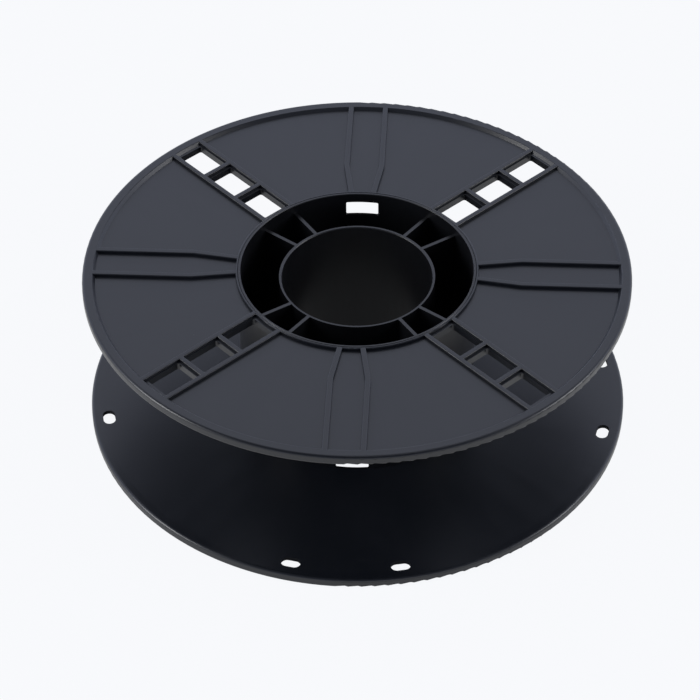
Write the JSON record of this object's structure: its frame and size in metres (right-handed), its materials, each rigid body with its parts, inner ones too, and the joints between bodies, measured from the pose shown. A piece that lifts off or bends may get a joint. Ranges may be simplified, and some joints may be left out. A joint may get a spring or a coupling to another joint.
{
  "type": "empty moulded plastic cable spool",
  "caption": "Empty moulded plastic spool with a hollow webbed drum and bore tube between two ribbed round flanges, for winding cable, wire or filament.",
  "frame": {"origin": "centre of the bore in the plane of the lower flange's outer face, which the spool stands on", "axes": "+Z along the bore from the lower flange to the windowed flange, +X and +Y through the middles of rib pairs, +Y on the side of the drum's upper start slot"},
  "size_m": [0.2, 0.2, 0.0637],
  "materials": {
    "flange_plastic": "dark blue-grey injection-moulded polystyrene, fine satin, slightly glossier rim",
    "hub_plastic": "near-black injection-moulded polystyrene, satin"
  },
  "bodies": {
    "root": {"hub": "hub_plastic", "top_flange": "flange_plastic", "bottom_flange": "flange_plastic"}
  },
  "joints": []
}
